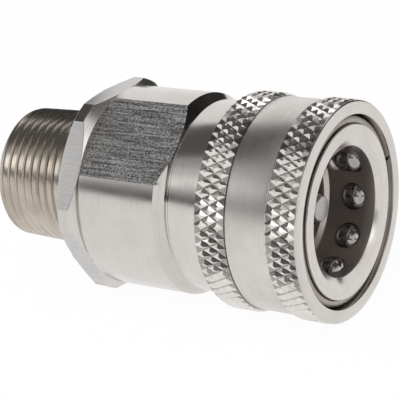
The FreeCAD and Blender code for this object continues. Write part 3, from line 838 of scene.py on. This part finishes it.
seal_rubber = moulded("seal_rubber", (0.035, 0.034, 0.033), (0.018, 0.018, 0.018), 0.45, 0.70)
backup_plastic = moulded("backup_plastic", (0.86, 0.85, 0.82), (0.78, 0.77, 0.73), 0.40, 0.60)

# %% [markdown]
# ## Giving each surface its finish
# A piece can carry several materials. Each face is sorted by where it lies and which way it
# faces: the milled flats have one flat normal, the thread lies behind the flange, the socket is
# everything inside the barrel, and the edges of the shoulder and of the flange's corners are
# polished by use.

# %% Sort faces to finishes


def finish(piece, materials, choose=None):
    """Give a piece its materials, and each face the one that choose names by number."""
    piece.data.materials.clear()
    for material in materials:
        piece.data.materials.append(material)
    if choose is not None:
        for face in piece.data.polygons:
            face.material_index = choose(face.center / MM, face.normal)


def radius_of(place):
    """Distance from the axis in millimetres."""
    return math.hypot(place.y, place.z)


THREAD_ZONE = 0.2
FLAT_ENOUGH = 0.999
FLATS_END, FLATS_INSIDE = 23.75, 16.0
SOCKET_WALL = 12.4
BARREL_START, BARREL_END, BARREL_INSIDE = 32.0, 48.4, 15.5
EDGE_START, EDGE_END, EDGE_INSIDE, EDGE_TILT = 21.3, 24.2, 16.5, 0.1
BAND_START, BAND_END, BAND_INSIDE = 37.0, 45.0, 19.5
HEXAGON_TILT, HEXAGON_INSIDE, HEXAGON_ROUND = 0.05, 17.0, 20.6
flats_turn = math.radians(FLATS_ANGLE)
flat_normal = Vector((0.0, math.cos(flats_turn), math.sin(flats_turn)))


def adaptor_finish(place, normal):
    """Thread 0, the rest 1."""
    return 0 if place.x < THREAD_ZONE else 1


def flange_finish(place, normal):
    """Faces and chamfers 0, flats 1, round corners 2."""
    if abs(normal.x) > HEXAGON_TILT or radius_of(place) < HEXAGON_INSIDE:
        return 0
    return 1 if radius_of(place) < HEXAGON_ROUND else 2


def body_finish(place, normal):
    """Flats 1, socket 2, edges of the shoulder 3, everything else 0."""
    radius = radius_of(place)
    flat = abs(normal.dot(flat_normal)) > FLAT_ENOUGH
    if flat and place.x < FLATS_END and radius > FLATS_INSIDE:
        return 1
    in_barrel = BARREL_START < place.x < BARREL_END and radius < BARREL_INSIDE
    if in_barrel or radius < SOCKET_WALL:
        return 2
    at_edge = EDGE_START < place.x < EDGE_END and radius > EDGE_INSIDE
    return 3 if at_edge and abs(normal.x) > EDGE_TILT else 0


def sleeve_finish(place, normal):
    """The smooth band 1, the rest 0."""
    on_band = BAND_START < place.x < BAND_END and radius_of(place) > BAND_INSIDE
    return 1 if on_band else 0


finish(adaptor, [thread_steel, turned_steel], adaptor_finish)
finish(flange, [turned_steel, flange_steel, edge_steel], flange_finish)
finish(body, [turned_steel, flat_steel, socket_steel, edge_steel], body_finish)
finish(sleeve, [turned_steel, band_steel], sleeve_finish)
finish(rear_grip, [knurl_steel])
finish(front_grip, [knurl_steel])
smooth(adaptor)
smooth(flange, degrees=6)
smooth(body, degrees=20)
smooth(sleeve)
smooth(poppet)
smooth(ring, degrees=50)
for grip in (rear_grip, front_grip):
    smooth(grip, degrees=10)
adaptor = join_pieces(adaptor, flange)
sleeve = join_pieces(sleeve, rear_grip, front_grip)
finish(ring, [wire_steel])
finish(poppet, [valve_steel])
for ball in balls:
    finish(ball, [ball_steel])
for coil in (sleeve_coil, valve_coil):
    finish(coil, [spring_steel])
for node in ("plug_seal", "valve_seal", "adaptor_seal"):
    finish(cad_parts[node], [seal_rubber])
finish(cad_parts["backup_ring"], [backup_plastic])
finish(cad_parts["valve_guide"], [turned_steel])
print("finishes set on", len(bpy.data.materials), "materials")

# %% [markdown]
# ## Riding on the mechanism
# Each piece now takes the place of its CAD node and rides on the body that moves it.

# %% Replace and ride


def stand_for(piece, node, moving_body):
    """This piece replaces one CAD node and moves with a body."""
    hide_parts(node)
    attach(piece, moving_body)


stand_for(adaptor, "end_adaptor", "coupler")
stand_for(body, "coupler_body", "coupler")
stand_for(sleeve, "locking_sleeve", "sleeve")
stand_for(ring, "retaining_ring", "coupler")
stand_for(poppet, "valve_poppet", "poppet")
stand_for(sleeve_coil, "sleeve_spring", "spring_coil")
stand_for(valve_coil, "valve_spring", "coupler")
for number, ball in enumerate(balls):
    node = f"ball_{number + 1:02d}"
    stand_for(ball, node, node)
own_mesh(sleeve_coil)
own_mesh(valve_coil)

# %% [markdown]
# ## Studio
# Polished steel shows its surroundings, so the look is made by the room more than by the metal.
# The photograph was taken on a white table in a white tent with dark gaps. We stage a white
# floor, a white world, and cards that only reflections can see. Long cards overhead and low down
# towards the camera draw the dark bands along the collar and the sleeve. Cards that stand on the
# far side darken the shoulder, and a dark and a light one before the mouth shape the bevel of the
# socket. A card in front and the top softbox, the one lamp that the steel may see, bring out the
# knurl, and two short cards close to the thread give each crest a dark and a light side.

# %% Floor
FLOOR_Z = -20.4 * MM
FLOOR_SIZE = 4.0
FLOOR_PAPER = (0.90, 0.90, 0.90, 1.0)
FLOOR_GLOW = 0.96
WHITE = (1.0, 1.0, 1.0, 1.0)


def light_path_mix(tree, plain, white, share):
    """Camera, glossy and transmission rays see a share of white, all others the plain shader."""
    path = tree.nodes.new("ShaderNodeLightPath")
    seen = math_node(tree, "MAXIMUM", path.outputs["Is Camera Ray"], path.outputs["Is Glossy Ray"])
    seen = math_node(tree, "MAXIMUM", seen, path.outputs["Is Transmission Ray"])
    mix = tree.nodes.new("ShaderNodeMixShader")
    tree.links.new(math_node(tree, "MULTIPLY", seen, share), mix.inputs["Fac"])
    tree.links.new(plain.outputs[0], mix.inputs[1])
    tree.links.new(white.outputs[0], mix.inputs[2])
    return mix


clear_selection()
bpy.ops.mesh.primitive_plane_add(size=FLOOR_SIZE, location=(0, 0, FLOOR_Z))
floor = bpy.context.object
floor.name = "pale_floor"
paper = bpy.data.materials.new("floor_paper")
paper.use_nodes = True
tree = paper.node_tree
matt = tree.nodes.new("ShaderNodeBsdfDiffuse")
matt.inputs["Color"].default_value = FLOOR_PAPER
glow = tree.nodes.new("ShaderNodeEmission")
glow.inputs["Color"].default_value = WHITE
floor_mix = light_path_mix(tree, matt, glow, share=FLOOR_GLOW)
tree.links.new(floor_mix.outputs[0], tree.nodes["Material Output"].inputs["Surface"])
floor.data.materials.append(paper)
print("floor at", FLOOR_Z)

# %% World and lamps
ROOM_LIGHT = 0.55
ROOM_SEEN = 1.0
world = bpy.data.worlds.new("white_tent")
bpy.context.scene.world = world
world.use_nodes = True
tree = world.node_tree
dim = tree.nodes["Background"]
bright = tree.nodes.new("ShaderNodeBackground")
for background, strength in ((dim, ROOM_LIGHT), (bright, ROOM_SEEN)):
    background.inputs["Color"].default_value = WHITE
    background.inputs["Strength"].default_value = strength
world_mix = light_path_mix(tree, dim, bright, share=1.0)
tree.links.new(world_mix.outputs[0], tree.nodes["World Output"].inputs["Surface"])

SOFTBOXES = [
    ("key_softbox", (0.10, -0.45, 0.45), 0.35, 0.35, 2.2),
    ("fill_softbox", (-0.35, -0.30, 0.35), 0.30, 0.30, 1.0),
    ("top_softbox", (0.05, -0.15, 0.50), 0.10, 0.24, 0.15),
]
SEEN_IN_STEEL = ("top_softbox",)
for name, place, width, depth, watts in SOFTBOXES:
    clear_selection()
    bpy.ops.object.light_add(type="AREA", location=place)
    lamp = bpy.context.object
    lamp.name = name
    lamp.data.shape = "RECTANGLE"
    lamp.data.size = width
    lamp.data.size_y = depth
    lamp.data.energy = watts
    lamp.visible_glossy = name in SEEN_IN_STEEL
    lamp.rotation_mode = "QUATERNION"
    lamp.rotation_quaternion = (-Vector(place)).to_track_quat("-Z", "Y")
print("softboxes:", len(SOFTBOXES))

# %% Cards for the reflections


def grey_card(name, grey, length, width, place):
    """A card of one grey that only reflections can see, put in its place by a matrix."""
    paint = bpy.data.materials.new(name)
    paint.use_nodes = True
    tree = paint.node_tree
    glow = tree.nodes.new("ShaderNodeEmission")
    glow.inputs["Color"].default_value = (grey, grey, grey, 1.0)
    tree.links.new(glow.outputs[0], tree.nodes["Material Output"].inputs["Surface"])
    clear_selection()
    bpy.ops.mesh.primitive_plane_add(size=1.0)
    card = bpy.context.object
    card.name = name
    card.data.transform(place @ Matrix.Diagonal((length, width, 1.0, 1.0)))
    card.data.materials.append(paint)
    card.visible_camera = False
    card.visible_diffuse = False
    card.visible_shadow = False


def long_card(name, grey, distance, low, high, rear=-1.3, front=0.7):
    """A card along X over a range of directions round the axis, in degrees from +Y to +Z."""
    width = 2 * distance * math.tan(math.radians((high - low) / 2))
    turn = Matrix.Rotation(math.radians((low + high) / 2 - 90), 4, "X")
    away = Matrix.Translation(((front + rear) / 2, 0.0, distance))
    grey_card(name, grey, front - rear, width, turn @ away)


def standing_card(name, grey, distance, azimuth, spread, low, high):
    """A card that stands by the table, between two elevations, azimuth from +X to +Y."""
    bottom = distance * math.tan(math.radians(low))
    top = distance * math.tan(math.radians(high))
    width = 2 * distance * math.tan(math.radians(spread))
    turn = Matrix.Rotation(math.radians(azimuth), 4, "Z")
    upright = Matrix.Rotation(math.pi / 2, 4, "Y")
    stand = Matrix.Translation((distance, 0.0, (bottom + top) / 2)) @ upright
    grey_card(name, grey, top - bottom, width, turn @ stand)


LONG_CARDS = [
    ("card_overhead", 0.10, 0.55, 66.0, 117.0),
    ("card_dim_1", 0.42, 0.57, 115.0, 128.0),
    ("card_dim_2", 0.66, 0.59, 127.0, 139.0),
    ("card_low_1", 0.52, 0.62, 153.0, 160.0),
    ("card_low_2", 0.24, 0.61, 159.5, 166.0),
    ("card_low_3", 0.05, 0.60, 165.0, 172.0),
]
STANDING_CARDS = [
    ("card_side_high", 0.02, 0.60, 40.0, 22.0, 23.5, 48.0),
    ("card_side_mid", 0.03, 0.61, 62.5, 6.5, 20.0, 45.0),
    ("card_side_low", 0.04, 0.62, 79.0, 13.0, -1.5, 38.0),
    ("card_right", 0.20, 0.60, -9.0, 9.0, -1.5, 9.0),
    ("card_right_light", 1.7, 0.61, 3.0, 8.0, 8.5, 21.0),
]
SHORT_CARDS = [
    ("card_front", 0.10, 0.50, 126.0, 168.0, -0.06, 0.30),
    ("card_thread", 0.05, 0.040, 2.0, 68.0, -0.055, -0.0225),
    ("card_thread_light", 1.9, 0.040, 138.0, 157.0, -0.055, -0.0225),
]
for card in LONG_CARDS:
    long_card(*card)
for card in STANDING_CARDS:
    standing_card(*card)
for card in SHORT_CARDS:
    long_card(*card)
print("cards staged:", len(LONG_CARDS) + len(STANDING_CARDS) + len(SHORT_CARDS))

# %% [markdown]
# ## View settings
# Colours should render as they are written, so the view transform is Standard.

# %% View settings
bpy.context.scene.view_settings.view_transform = "Standard"
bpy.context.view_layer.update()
clear_selection()
